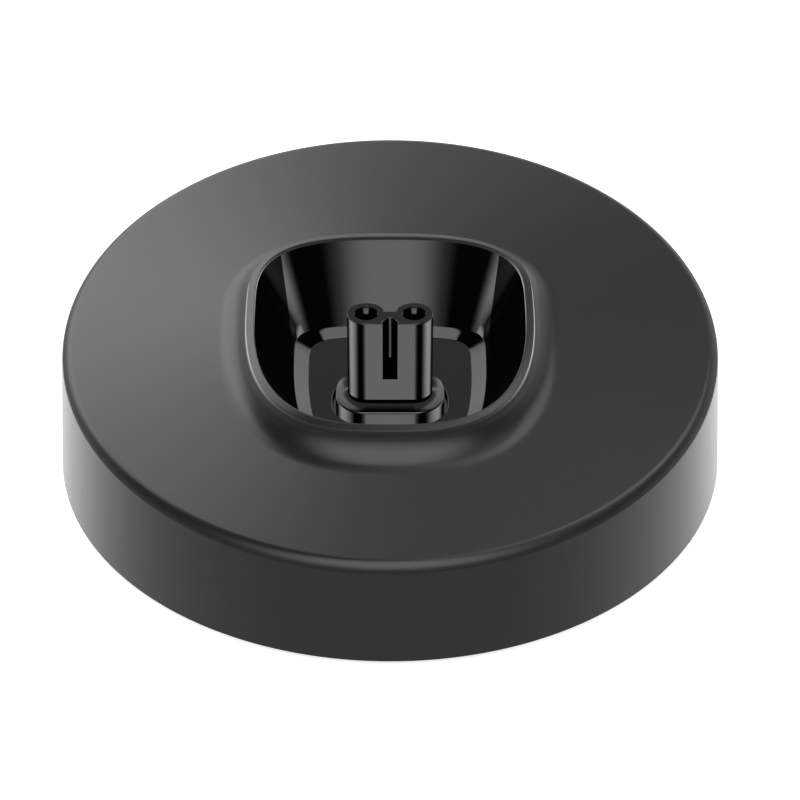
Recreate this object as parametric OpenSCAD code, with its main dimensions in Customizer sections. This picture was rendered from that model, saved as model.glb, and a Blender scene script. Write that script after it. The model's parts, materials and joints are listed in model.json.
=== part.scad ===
// Charging stand for a hand shaver, in millimetres.
// The origin is the middle of the base on the surface that the feet stand on. +Z is up and -Y is the front.
// The sloping top is higher at the back. A deep well in it holds the shaver over a small two-pole connector,
// which floats on two springs. Power comes in at a two-pole inlet in the rear wall.

/* [Base ring] */
// Diameter of the base at its bottom edge
base_d = 110; // [108:1:124]
// How far the four feet hold the bottom edge off the surface
foot_stand = 0.6; // [0.4:0.1:1.2]
// Height of the wall's top edge above the bottom edge, midway between front and back
ring_h = 23; // [22:0.5:27]
// Radius that the wall loses from the bottom edge to the top edge
wall_lean = 1.7; // [1:0.1:2.4]
// Slope of the whole top, down to the front, in degrees
top_tilt = 6; // [4:0.5:7]
// Rounding between wall and top
edge_r = 2; // [1:0.25:3]
// Rise of the top towards the well, in degrees
top_rise = 5; // [3:0.5:6]
// Thickness of the housing's wall and roof
shell_t = 2.2; // [1.8:0.1:2.6]

/* [Collar round the well] */
// Height of the rim above the plane of the wall's top edge
rim_rise = 5.8; // [5:0.2:7]
// Half the width of the rim, outside
rim_half_w = 23.1; // [22.6:0.1:24]
// Reach of the rim to the front
rim_front = 31.3; // [31:0.1:33]
// Reach of the rim to the back
rim_back = 17; // [16.8:0.1:18]
// Squareness of the rim's outline, where 2 is an ellipse
rim_n = 2.8; // [2.5:0.1:3.2]
// Width of the curved flank round the collar
flare_run = 4.6; // [3.5:0.1:5.5]
// Squareness of the flank's foot
flare_n = 2.65; // [2.4:0.05:3]
// Width of the lip on the rim
lip_w = 1.3; // [1.2:0.05:1.5]
// Slope of the lip, down to the outside, in degrees
lip_slope = 16; // [8:1:22]
// Thickness of the lip over the liner's edge
lip_t = 0.6; // [0.4:0.1:1]

/* [Well liner] */
// Height of the well's floor above the bottom edge
floor_h = 13.5; // [13:0.25:15]
// Half the width of the floor
floor_half_w = 16.2; // [15.5:0.1:17]
// Reach of the floor to the front
floor_front = 28.4; // [27:0.1:29]
// Reach of the floor to the back
floor_back = 14.4; // [13:0.1:15]
// Squareness of the floor's front corners
floor_front_n = 4; // [3.4:0.2:4.2]
// Squareness of the floor's back corners
floor_back_n = 4.8; // [4:0.2:7]
// Squareness of the liner's upper edge
liner_rim_n = 2.9; // [2.6:0.1:3.2]
// Rounding between floor and walls
floor_fillet = 3.2; // [2:0.2:4]
// Thickness of the liner's wall at the floor
liner_t = 1.4; // [1.2:0.1:1.8]
// Thickness of the liner's wall at its upper edge
liner_rim_t = 0.75; // [0.6:0.05:0.85]
// Thickness of the liner's floor
floor_t = 1.6; // [1.4:0.1:2]
// Space between the liner and the housing's collar
liner_gap = 0.05; // [0.05:0.01:0.15]

/* [Connector] */
// Place of the connector's middle behind the base's middle, negative to the front
connector_y = -7; // [-9:0.5:-5]
// Height of the nose above its shoulder
nose_h = 15; // [14:0.5:18]
// Distance between the two contact holes
pole_pitch = 7.65; // [7.4:0.05:8.6]
// Radius of the nose's two lobes
lobe_r = 3.05; // [2.95:0.05:3.3]
// Width of the notch between the lobes at the back
notch_w = 2.06; // [1.6:0.1:2.4]
// Depth of the notch between the lobes at the back
notch_depth = 2.47; // [1.6:0.1:2.6]
// Width of the key slot in the nose's front
slot_w = 2.4; // [2:0.1:2.6]
// Depth of the key slot
slot_depth = 1.8; // [1.4:0.1:2]
// Height of the key slot from the nose's top
slot_h = 10.7; // [8:0.5:13]
// Radius of each contact hole in the nose
socket_r = 1.25; // [1.15:0.05:1.3]
// Radius of the funnel at each contact hole's mouth
funnel_r = 1.8; // [1.6:0.05:2]
// Depth of the funnel
funnel_h = 0.9; // [0.6:0.1:1.2]
// Length of the plastic guide between the funnel and the contact
guide_h = 2.7; // [2:0.1:3.5]
// Width of the shoulder
shoulder_w = 17.7; // [17:0.1:18.5]
// Depth of the shoulder from front to back
shoulder_d = 12.2; // [11.6:0.1:13]
// Corner radius of the shoulder
shoulder_r = 4.6; // [3.5:0.1:5.5]
// Height of the shoulder above the well's floor
shoulder_stand = 2.2; // [1.8:0.1:2.6]
// Space round the shoulder in the floor's hole
hole_gap = 0.55; // [0.4:0.05:0.8]

/* [Float] */
// How far the connector can be pushed down
travel = 1.2; // [0.8:0.1:1.4]
// How far the flange reaches under the floor beyond the hole
flange_over = 1.8; // [1.4:0.1:2.2]
// Thickness of the connector's flange
flange_t = 1.6; // [1.4:0.1:1.8]
// Thickness of the rubber seal on the flange
seal_t = 0.6; // [0.4:0.1:0.8]
// Distance of each spring's middle inside the shoulder's side
spring_inset = 0.25; // [-0.1:0.05:0.45]
// Mean radius of each spring
spring_r = 1.75; // [1.7:0.05:1.9]
// Radius of the spring's wire
spring_wire_r = 0.25; // [0.2:0.05:0.25]
// Turns of each spring
spring_turns = 4; // [3:0.5:4]
// Height of each spring at rest
spring_h = 4.1; // [3.9:0.1:4.3]
// Thickness of the spring tray
tray_t = 1.4; // [1.2:0.1:1.6]
// Thickness of the tray's two upright sides
tray_side_t = 1.2; // [1:0.1:1.6]
// Space between the connector's flange and the tray's sides
tray_clear = 1.6; // [1:0.1:2]
// Height of the tray's ears above its floor
tray_ear_rise = 2.6; // [2:0.1:3]
// Length of the posts under the flange that centre the springs
flange_post_h = 0.9; // [0.6:0.1:1.1]
// Depth of the spring tray from front to back
tray_d = 13; // [10:0.5:16]

/* [Contacts and terminals] */
// Outer radius of each contact's sleeve
sleeve_r = 1.75; // [1.7:0.05:1.85]
// Depth of each contact's sleeve
sleeve_depth = 12; // [10:0.5:13]
// Width of the slit across each contact's sleeve
slit_w = 0.4; // [0.2:0.1:0.6]
// Length of the slit
slit_h = 8.4; // [6:0.2:9]
// Radius of each contact's tail
tail_r = 0.6; // [0.5:0.05:0.7]
// Outer radius of each terminal
terminal_r = 1.15; // [1.1:0.05:1.25]
// Radius of the collar on each terminal
terminal_collar_r = 1.7; // [1.5:0.05:1.9]
// Thickness of the collar
terminal_collar_t = 0.5; // [0.4:0.1:0.7]
// Running clearance of each tail in its terminal, on the radius
tail_clearance = 0.05; // [0.03:0.01:0.08]

/* [Inlet] */
// Height of the inlet's middle above the bottom edge
inlet_h = 9.4; // [9:0.2:10.4]
// Width of the inlet's body
inlet_w = 18.4; // [18:0.2:19]
// Height of the inlet's body
inlet_tall = 10.4; // [10:0.2:11]
// Depth of the pocket for the plug
pocket_depth = 12; // [11:0.5:13]
// Space round the plug in the pocket
pocket_gap = 0.35; // [0.25:0.05:0.5]
// Radius of each inlet pin
pin_r = 1.1; // [1:0.05:1.15]
// Radius of each inlet pin's shank in the rear wall
pin_shank_r = 1.35; // [1.3:0.05:1.5]
// Length of the shank that stands out of the rear wall, inside
pin_tail = 1; // [0.5:0.5:2]
// Height of the cone at each pin's point
pin_point_h = 0.6; // [0.4:0.1:0.8]
// How far each pin stops short of the pocket's mouth
pin_recess = 2.2; // [1.5:0.1:3]
// Thickness of the inlet's rear wall
inlet_back_t = 5.2; // [4.5:0.1:6]
// Thickness of the inlet's flange
inlet_flange_t = 1.6; // [1.4:0.1:2]
// Thickness of the inlet's rubber seal
inlet_seal_t = 0.8; // [0.6:0.1:1]
// How far the inlet's mouth lies inside the wall's bottom radius
inlet_inset = 2; // [1.6:0.1:2.6]
// How far inside the wall's bottom radius the pad behind the inlet's flange starts
pad_inset = 10; // [9:0.5:11]
// Rounding of the inlet's corners
inlet_corner_r = 2; // [1:0.5:3]
// How far the inlet's flange reaches above and below its body
inlet_flange_over = 1; // [0.8:0.1:1.2]
// Depth of the inlet's screws in the pad
inlet_screw_bite = 4.5; // [3.5:0.5:5]

/* [Base plate and ballast] */
// Thickness of the base plate
plate_t = 2.4; // [2.2:0.1:2.8]
// Space between the base plate and the housing's wall
plate_gap = 0.3; // [0.2:0.05:0.6]
// Thickness of the steel ballast
ballast_t = 3; // [2:0.5:4]
// Space between the ballast and the bosses of the housing's screws
ballast_gap = 1; // [0.5:0.1:2]
// Width of the ballast inside the middle of its screws
ballast_in_w = 6.5; // [4:0.5:8]
// Half the width of the ballast's opening at the back
ballast_mouth = 17; // [16:0.5:20]
// Depth of the ballast's screws in the ballast
ballast_screw_bite = 2.4; // [1.5:0.1:2.8]

/* [Fasteners and feet] */
// Distance of the housing's screws inside the wall's bottom radius
housing_screw_inset = 7.5; // [7:0.1:7.8]
// Length of the housing's screws below their heads
housing_screw_l = 9; // [7:0.5:10]
// Length of the liner's screws below their heads
liner_screw_l = 8; // [6:0.5:8.5]
// Distance of the liner's rear screws outside the rim's side
liner_back_out = 1.9; // [1.5:0.1:2.5]
// Place of the liner's rear screws behind the base's middle
liner_back_y = 10.5; // [8:0.5:12]
// Distance of the liner's front screws outside the rim's side
liner_front_out = 3.4; // [3:0.1:4]
// Place of the liner's front screws behind the base's middle, negative to the front
liner_front_y = -18; // [-20:0.5:-16]
// Radius of the thread of a large screw
screw_r = 1.45; // [1.3:0.05:1.5]
// Radius of the head of a large screw
head_r = 2.7; // [2.5:0.1:2.9]
// Height of the head of a large screw
head_h = 1.2; // [1:0.1:1.3]
// Radius of the thread of a small screw
small_screw_r = 1; // [0.9:0.05:1.1]
// Radius of the head of a small screw
small_head_r = 1.8; // [1.6:0.1:1.9]
// Height of the head of a small screw
small_head_h = 1.3; // [1.1:0.1:1.4]
// Radius of the bosses for the large screws
boss_r = 3; // [2.8:0.1:3.1]
// Radius of the bosses for the small screws
small_boss_r = 2.4; // [2.2:0.1:2.6]
// Radius of each foot
foot_r = 5; // [4:0.5:5.5]
// Thickness of each foot
foot_t = 1.4; // [1.2:0.1:1.8]
// Distance of the feet's middles inside the wall's bottom radius
foot_inset = 11; // [9:0.5:11.5]

/* [Leads] */
// Radius of each insulated lead
lead_r = 0.6; // [0.5:0.05:0.65]
// Distance between the two leads where the clip holds them
lead_spread = 10; // [9:0.5:12]
// Place of the clip behind the base's middle
clip_y = 12; // [10:1:16]
// Depth of the clip from front to back
clip_d = 5; // [4:0.5:7]
// Thickness of the clip
clip_t = 1; // [0.8:0.1:1.4]
// Thickness of the clip's legs
clip_leg_t = 1.2; // [1:0.1:1.4]

/* [Hidden] */

// Clearances that several pieces share, each on the radius or on one side
screw_fit = 0.05;
screw_slack = 0.2;
sleeve_fit = 0.05;
pin_fit = 0.02;
seal_fit = 0.05;
foot_fit = 0.15;
wall_hole_fit = 0.35;
rib_slack = 0.4;
post_slack = 0.25;
wire_end_gap = 0.05;
lead_lift = 0.3;
lead_head_gap = 0.2;
head_clear = 0.1;
piece_gap = 0.3;

// How far a cut runs past the face that it opens, and a solid into the one that it stands on
past = 1;

// Facets of the lofted shells and the swept wires
sectors = 96;
fillet_steps = 5;
flare_steps = 8;
wire_sides = 8;
$fn = 48;

// Heights above the surface
base_z = foot_stand;
plate_top = base_z + plate_t;
ring_z = base_z + ring_h;
rim_z = ring_z + rim_rise;
floor_z = base_z + floor_h;
floor_under = floor_z - floor_t;
shoulder_z = floor_z + shoulder_stand;
nose_z = shoulder_z + nose_h;
sleeve_top = nose_z - funnel_h - guide_h;
flange_z = floor_under - seal_t - flange_t;
tray_top = flange_z - spring_h;
tray_under = tray_top - tray_t;
inlet_z = base_z + inlet_h;

// Rings of the base plate's pieces, and slopes of the housing
foot_head_gap = 0.8;
base_r = base_d / 2;
ring_r = base_r - wall_lean;
plate_r = base_r - shell_t - plate_gap;
housing_screw_ring = base_r - housing_screw_inset;
foot_ring = base_r - foot_inset;
ballast_outer_r = housing_screw_ring - boss_r - ballast_gap;
ballast_screw_ring = foot_ring - foot_r - head_r - foot_head_gap;
ballast_inner_r = ballast_screw_ring - ballast_in_w;
tilt_k = tan(top_tilt);
rise_k = tan(top_rise);

// Height of the plane of the wall's top edge, and of the rim's plane
function ring_plane(y) = ring_z + y * tilt_k;
function rim_plane(y) = rim_z + y * tilt_k;
// Height of the cone that rises from the wall's top edge to the well
function cone_z(r, a) = ring_plane(r * sin(a)) + (ring_r - r) * rise_k;
function roof_z(x, y) = cone_z(norm([x, y]), atan2(y, x));

// Distance from the middle to a squarish outline, at the angle a
function outline(a, half_w, front, back, n_front, n_back) =
  let (deep = sin(a) < 0 ? front : back, n = sin(a) < 0 ? n_front : n_back)
  pow(pow(abs(cos(a)) / half_w, n) + pow(abs(sin(a)) / deep, n), -1 / n);
function rim_out(a) = outline(a, rim_half_w, rim_front, rim_back, rim_n, rim_n);
function flare_foot(a) =
  outline(a, rim_half_w + flare_run, rim_front + flare_run, rim_back + flare_run, flare_n, flare_n);
function liner_top(a, grow = 0) =
  let (g = grow - lip_w)
  outline(a, rim_half_w + g, rim_front + g, rim_back + g, liner_rim_n, liner_rim_n);
function liner_floor(a, grow = 0) =
  outline(a, floor_half_w + grow, floor_front + grow, floor_back + grow, floor_front_n, floor_back_n);

// Rounds the corner p between the directions u and v, both in one upright plane
function unit(v) = v / norm(v);
function corner_arc(p, u, v, r, steps) =
  let (
    a = unit(u),
    b = unit(v),
    half = acos(a * b) / 2,
    middle = p + unit(a + b) * r / sin(half),
    from = unit(p + a * r / tan(half) - middle),
    to = unit(p + b * r / tan(half) - middle),
    turn = 180 - 2 * half
  )
  [for (i = [0:steps])
    middle + r * (from * sin(turn * (1 - i / steps)) + to * sin(turn * i / steps)) / sin(turn)];

// One upright section of the housing at the angle a, as points of radius and height, all the way round
lip_drop = lip_w * tan(lip_slope);
collar_min_h = 1;
function flare_point(a, t) =
  let (
    top_r = rim_out(a),
    r = top_r + (flare_foot(a) - top_r) * (1 - sin(t)),
    gain = rim_plane(top_r * sin(a)) - cone_z(top_r, a)
  )
  [r, cone_z(r, a) + gain * (1 - cos(t))];
function housing_section(a) =
  let (
    ring = [ring_r, cone_z(ring_r, a)],
    wall_foot = [base_r, base_z],
    cone_in = [-1, rise_k - sin(a) * tilt_k],
    foot = flare_point(a, 0),
    lip_in_r = liner_top(a),
    lip_in_z = rim_plane(lip_in_r * sin(a)) + lip_drop,
    seat_r = liner_top(a, liner_rim_t + liner_gap),
    roof_in_r = ring_r - shell_t,
    collar_in_z = min(lip_in_z - lip_t - collar_min_h, cone_z(seat_r, a) - shell_t)
  )
  concat(
    [wall_foot],
    corner_arc(ring, wall_foot - ring, cone_in, edge_r, fillet_steps),
    [[(ring_r + foot[0]) / 2, cone_z((ring_r + foot[0]) / 2, a)]],
    [for (i = [0:flare_steps]) flare_point(a, 90 * i / flare_steps)],
    [[lip_in_r, lip_in_z], [lip_in_r, lip_in_z - lip_t]],
    [[seat_r, lip_in_z - lip_t], [seat_r, collar_in_z]],
    [[foot[0], cone_z(foot[0], a) - shell_t], [roof_in_r, cone_z(roof_in_r, a) - shell_t]],
    [[base_r - shell_t, base_z]]
  );

// One upright section of the liner at the angle a, from its edge down to the floor and back underneath
function liner_section(a) =
  let (
    top_r = liner_top(a),
    top_z = rim_plane(top_r * sin(a)) + lip_drop - lip_t - liner_gap,
    foot = [liner_floor(a), floor_z],
    top = [top_r, top_z]
  )
  concat(
    [top],
    corner_arc(foot, top - foot, [-1, 0], floor_fillet, fillet_steps),
    [[0, floor_z], [0, floor_under]],
    [[liner_floor(a, liner_t), floor_under], [liner_top(a, liner_rim_t), top_z]]
  );

// Closed shell through one section for each angle
function section_angle(i) = 360 * i / sectors;
module lathe_loft(sections) {
  count = len(sections[0]);
  points = [for (i = [0:sectors - 1], p = sections[i])
    [p[0] * cos(section_angle(i)), p[0] * sin(section_angle(i)), p[1]]];
  faces = [for (i = [0:sectors - 1], j = [0:count - 1])
    let (i2 = (i + 1) % sectors, j2 = (j + 1) % count)
    each [
      [i * count + j, i2 * count + j2, i2 * count + j],
      [i * count + j, i * count + j2, i2 * count + j2]
    ]];
  polyhedron(points, faces);
}

// Tube swept along a path that never runs straight up
function path_dir(path, i) = unit(path[min(i + 1, len(path) - 1)] - path[max(i - 1, 0)]);
module wire(path, r) {
  rings = [for (i = [0:len(path) - 1])
    let (d = path_dir(path, i), side = unit(cross(d, [0, 0, 1])), up = cross(side, d))
    each [for (k = [0:wire_sides - 1])
      path[i] + r * (side * cos(360 * k / wire_sides) + up * sin(360 * k / wire_sides))]];
  last = (len(path) - 1) * wire_sides;
  skin = [for (i = [0:len(path) - 2], k = [0:wire_sides - 1])
    let (k2 = (k + 1) % wire_sides, a = i * wire_sides, b = a + wire_sides)
    each [[a + k, b + k, b + k2], [a + k, b + k2, a + k2]]];
  polyhedron(rings, concat(
    skin,
    [[for (k = [0:wire_sides - 1]) k]],
    [[for (k = [wire_sides - 1:-1:0]) last + k]]
  ));
}

// Smooth line through the given points
steps_per_leg = 4;
function curve_point(p, q, r, s, t) =
  0.5 * (
    (2 * q) + (r - p) * t + (2 * p - 5 * q + 4 * r - s) * t * t
    + (3 * q - p - 3 * r + s) * t * t * t
  );
function smooth_path(points) =
  let (n = len(points) - 1)
  concat(
    [for (i = [0:n - 1], k = [0:steps_per_leg - 1])
      curve_point(
        points[max(i - 1, 0)], points[i], points[i + 1], points[min(i + 2, n)], k / steps_per_leg
      )],
    [points[n]]
  );

// Flat shapes
module rounded_rect(w, d, r) {
  square([w - 2 * r, d], center = true);
  square([w, d - 2 * r], center = true);
  for (x = [-1, 1], y = [-1, 1])
    translate([x * (w / 2 - r), y * (d / 2 - r)])
      circle(r);
}
module nose_outline(grow = 0) {
  web_back = lobe_r - notch_depth;
  difference() {
    union() {
      for (x = [-1, 1])
        translate([x * pole_pitch / 2, 0])
          circle(lobe_r + grow);
      translate([-pole_pitch / 2, -lobe_r - grow])
        square([pole_pitch, lobe_r + grow + web_back]);
    }
    translate([-notch_w / 2, web_back])
      square([notch_w, lobe_r]);
  }
}
module slot_outline(w, depth) {
  round_y = -lobe_r + depth - w / 2;
  translate([0, round_y])
    circle(w / 2);
  translate([-w / 2, -2 * lobe_r])
    square([w, 2 * lobe_r + round_y]);
}

// Screw with its head below the seat and its thread up from it, with a cross in the head.
// The cross is given by its width and length over the head's radius and its depth over the head's height.
cross_width = 0.3;
cross_length = 1.1;
cross_depth = 0.6;
module screw(r, length, wide, tall) {
  cross_w = wide * cross_width;
  cross_l = wide * cross_length;
  difference() {
    union() {
      translate([0, 0, -tall / 2])
        cylinder(r = r, h = length + tall / 2);
      translate([0, 0, -tall])
        cylinder(r = wide, h = tall);
    }
    for (turn = [0, 90])
      rotate([0, 0, turn])
        translate([-cross_l / 2, -cross_w / 2, -tall - past])
          cube([cross_l, cross_w, past + tall * cross_depth]);
  }
}

// Places of the screws and feet
housing_screw_spots = [for (a = [45:90:315]) housing_screw_ring * [cos(a), sin(a)]];
ballast_screw_spots = [for (a = [30, 150, 270]) ballast_screw_ring * [cos(a), sin(a)]];
ear_step = 0.2;
ear_margin = 0.6;
ear_root = 4.8;
liner_ear_t = floor_t - ear_step;
liner_back_x = rim_half_w + liner_back_out;
liner_front_x = rim_half_w + liner_front_out;
liner_screw_spots = [
  [-liner_back_x, liner_back_y], [liner_back_x, liner_back_y],
  [-liner_front_x, liner_front_y], [liner_front_x, liner_front_y]
];

// Floor hole, flange and tray sizes
hole_w = shoulder_w + 2 * hole_gap;
hole_d = shoulder_d + 2 * hole_gap;
flange_w = hole_w + 2 * flange_over;
flange_d = hole_d + 2 * flange_over;
spring_x = shoulder_w / 2 - spring_inset;
tray_half_w = flange_w / 2 + tray_clear;
tray_boss_x = tray_half_w + tray_side_t + small_boss_r + piece_gap;
tray_ear_top = tray_top + tray_ear_rise;
tray_pilot_top = floor_under + floor_t / 3;
spring_post_r = spring_r - spring_wire_r - post_slack;
tray_post_h = spring_h - flange_post_h - travel - piece_gap;

// Inlet places along Y
mouth_y = base_r - inlet_inset;
pad_y = base_r - pad_inset;
inlet_flange_y = pad_y - inlet_seal_t - inlet_flange_t;
pocket_end_y = mouth_y - pocket_depth;
inlet_back_y = pocket_end_y - inlet_back_t;
inlet_head_gap = 0.4;
inlet_screw_x = inlet_w / 2 + small_head_r + inlet_head_gap;
inlet_flange_half_w = inlet_screw_x + small_head_r + screw_slack;
inlet_flange_tall = inlet_tall + 2 * inlet_flange_over;
pad_margin = 0.6;
pad_over = 1;
pad_half_w = inlet_flange_half_w + pad_margin;
pad_top = inlet_z + inlet_flange_tall / 2 + pad_over;

// Room in a screw's hole beyond the screw's end
pilot_end_gap = 0.5;

module top_housing() {
  large_pilot = screw_r + screw_fit;
  color("#2c2c2e")
  difference() {
    union() {
      lathe_loft([for (i = [0:sectors - 1]) housing_section(section_angle(i))]);
      for (p = housing_screw_spots)
        translate([p[0], p[1], plate_top])
          cylinder(r = boss_r, h = roof_z(p[0], p[1]) - shell_t / 2 - plate_top);
      for (p = liner_screw_spots)
        translate([p[0], p[1], floor_under + liner_ear_t])
          cylinder(r = boss_r, h = roof_z(p[0], p[1]) - shell_t / 2 - floor_under - liner_ear_t);
      intersection() {
        translate([-pad_half_w, pad_y, plate_top])
          cube([2 * pad_half_w, pad_inset, pad_top - plate_top]);
        translate([0, 0, base_z])
          cylinder(r1 = base_r - shell_t / 2, r2 = ring_r - shell_t / 2, h = ring_h);
      }
    }
    for (p = housing_screw_spots)
      translate([p[0], p[1], plate_top - past])
        cylinder(r = large_pilot, h = housing_screw_l + past);
    for (p = liner_screw_spots)
      translate([p[0], p[1], floor_under])
        cylinder(r = large_pilot, h = liner_screw_l + pilot_end_gap);
    inlet_hole_prism(pad_y - past, base_r + past, wall_hole_fit);
    for (x = [-1, 1])
      translate([x * inlet_screw_x, pad_y - past, inlet_z])
        rotate([-90, 0, 0])
          cylinder(r = small_screw_r + screw_fit, h = inlet_screw_bite + pilot_end_gap + past);
  }
}

// Rounded block of the inlet's cross-section between two places along Y
module inlet_hole_prism(from_y, to_y, grow) {
  translate([0, to_y, inlet_z])
    rotate([90, 0, 0])
      linear_extrude(to_y - from_y)
        rounded_rect(inlet_w + 2 * grow, inlet_tall + 2 * grow, inlet_corner_r + grow);
}

module well_liner() {
  ear_root_x = floor_half_w - ear_root;
  color("#141416")
  difference() {
    union() {
      lathe_loft([for (i = [0:sectors - 1]) liner_section(section_angle(i))]);
      for (p = liner_screw_spots) {
        translate([p[0], p[1], floor_under])
          cylinder(r = boss_r + ear_margin, h = liner_ear_t);
        translate([p[0] > 0 ? ear_root_x : p[0], p[1] - boss_r, floor_under])
          cube([abs(p[0]) - ear_root_x, 2 * boss_r, liner_ear_t]);
      }
      for (x = [-1, 1])
        translate([x * tray_boss_x, connector_y, tray_ear_top])
          cylinder(r = small_boss_r, h = floor_under - tray_ear_top + floor_t / 2);
    }
    translate([0, connector_y, floor_under - past])
      linear_extrude(floor_t + 2 * past)
        rounded_rect(hole_w, hole_d, shoulder_r + hole_gap);
    for (p = liner_screw_spots)
      translate([p[0], p[1], floor_under - past])
        cylinder(r = screw_r + screw_slack, h = liner_ear_t + 2 * past);
    for (x = [-1, 1])
      translate([x * tray_boss_x, connector_y, tray_ear_top - past])
        cylinder(r = small_screw_r + screw_fit, h = tray_pilot_top - tray_ear_top + past);
  }
}

module connector_body() {
  color("#161618")
  translate([0, connector_y, 0])
  difference() {
    union() {
      translate([0, 0, shoulder_z])
        linear_extrude(nose_h)
          nose_outline();
      translate([0, 0, flange_z])
        linear_extrude(shoulder_z - flange_z)
          rounded_rect(shoulder_w, shoulder_d, shoulder_r);
      translate([0, 0, flange_z])
        linear_extrude(flange_t)
          rounded_rect(flange_w, flange_d, shoulder_r + hole_gap + flange_over);
      for (x = [-1, 1])
        translate([x * spring_x, 0, flange_z - flange_post_h])
          cylinder(r = spring_post_r, h = flange_post_h + flange_t / 2);
    }
    translate([0, 0, nose_z - slot_h])
      linear_extrude(slot_h + past)
        slot_outline(slot_w, slot_depth);
    for (x = [-1, 1])
      translate([x * pole_pitch / 2, 0, 0]) {
        translate([0, 0, nose_z - funnel_h])
          cylinder(r1 = socket_r, r2 = funnel_r, h = funnel_h);
        translate([0, 0, nose_z])
          cylinder(r = funnel_r, h = past);
        translate([0, 0, sleeve_top - past])
          cylinder(r = socket_r, h = guide_h + past);
        translate([0, 0, flange_z - past])
          cylinder(r = sleeve_r + sleeve_fit, h = sleeve_top - flange_z + past);
      }
  }
}

// One contact: a slit sleeve with the same bore as the hole above it, and a tail that slides in its terminal
module contact(side) {
  tail_foot = tray_under + travel + piece_gap;
  color("#c9a54a")
  translate([side * pole_pitch / 2, connector_y, 0])
  difference() {
    union() {
      translate([0, 0, flange_z])
        cylinder(r = sleeve_r, h = sleeve_top - flange_z);
      translate([0, 0, tail_foot])
        cylinder(r = tail_r, h = flange_z - tail_foot + past);
    }
    translate([0, 0, sleeve_top - sleeve_depth])
      cylinder(r = socket_r, h = sleeve_depth + past);
    translate([-slit_w / 2, -sleeve_r - past, sleeve_top - slit_h])
      cube([slit_w, 2 * (sleeve_r + past), slit_h + past]);
  }
}
module contact_left() { contact(-1); }
module contact_right() { contact(1); }

module connector_seal() {
  color("#3a3a3c")
  translate([0, connector_y, flange_z + flange_t])
  linear_extrude(seal_t)
  difference() {
    rounded_rect(flange_w, flange_d, shoulder_r + hole_gap + flange_over);
    rounded_rect(shoulder_w + 2 * seal_fit, shoulder_d + 2 * seal_fit, shoulder_r + seal_fit);
  }
}

// Helical spring between the tray and the flange
module spring(side) {
  turn_steps = 14;
  steps = round(spring_turns * turn_steps);
  start_z = tray_top + spring_wire_r;
  rise = spring_h - 2 * spring_wire_r;
  color("#b9bcc0")
  translate([side * spring_x, connector_y, 0])
  wire([for (i = [0:steps])
    let (a = 360 * i / turn_steps)
    [spring_r * cos(a), spring_r * sin(a), start_z + rise * i / steps]], spring_wire_r);
}
module spring_left() { spring(-1); }
module spring_right() { spring(1); }

module spring_tray() {
  ear_len = tray_boss_x + small_boss_r - tray_half_w;
  color("#4a4b4e")
  translate([0, connector_y, 0])
  difference() {
    union() {
      translate([-tray_half_w, -tray_d / 2, tray_under])
        cube([2 * tray_half_w, tray_d, tray_t]);
      for (x = [-1, 1]) {
        translate([x * (tray_half_w + tray_side_t / 2) - tray_side_t / 2, -tray_d / 2, tray_under])
          cube([tray_side_t, tray_d, tray_ear_top - tray_under]);
        translate([x > 0 ? tray_half_w : -tray_half_w - ear_len, -small_boss_r, tray_ear_top - tray_t])
          cube([ear_len, 2 * small_boss_r, tray_t]);
        translate([x * spring_x, 0, tray_top])
          cylinder(r = spring_post_r, h = tray_post_h);
      }
    }
    for (x = [-1, 1]) {
      translate([x * pole_pitch / 2, 0, tray_under - past])
        cylinder(r = terminal_r + sleeve_fit, h = tray_t + 2 * past);
      translate([x * tray_boss_x, 0, tray_ear_top - tray_t - past])
        cylinder(r = small_screw_r + screw_slack, h = tray_t + 2 * past);
    }
  }
}

module tray_screws() {
  length = tray_t + tray_pilot_top - tray_ear_top - pilot_end_gap;
  color("#8d9096")
  for (x = [-1, 1])
    translate([x * tray_boss_x, connector_y, tray_ear_top - tray_t])
      screw(small_screw_r, length, small_head_r, small_head_h);
}

// One terminal: a tube through the tray, closed below, with a collar on the tray
module terminal(side) {
  foot_z = plate_top + piece_gap;
  top_z = flange_z - travel - piece_gap;
  color("#c9a54a")
  translate([side * pole_pitch / 2, connector_y, 0])
  difference() {
    union() {
      translate([0, 0, foot_z])
        cylinder(r = terminal_r, h = top_z - foot_z);
      translate([0, 0, tray_top])
        cylinder(r = terminal_collar_r, h = terminal_collar_t);
    }
    translate([0, 0, tray_under])
      cylinder(r = tail_r + tail_clearance, h = top_z - tray_under + past);
  }
}
module terminal_left() { terminal(-1); }
module terminal_right() { terminal(1); }

// Route of each lead from its terminal to its inlet pin
lead_z = plate_top + lead_r + lead_lift;
lead_start_y = connector_y + terminal_r + wire_end_gap;
lead_end_y = inlet_back_y - pin_tail - wire_end_gap;
module lead(side) {
  route = [
    [pole_pitch / 2, lead_start_y, lead_z],
    [pole_pitch / 2, lead_start_y + 4, lead_z],
    [lead_spread / 2, clip_y - clip_d / 2 - 1, lead_z],
    [lead_spread / 2, clip_y + clip_d / 2 + 1, lead_z],
    [pole_pitch / 2 + 0.5, lead_end_y - 11, lead_z + 2],
    [pole_pitch / 2, lead_end_y - 4, inlet_z - 0.4],
    [pole_pitch / 2, lead_end_y, inlet_z]
  ];
  color(side < 0 ? "#8f1f1c" : "#1c1c1e")
  wire(smooth_path([for (p = route) [side * p[0], p[1], p[2]]]), lead_r);
}
module lead_left() { lead(-1); }
module lead_right() { lead(1); }

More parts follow.
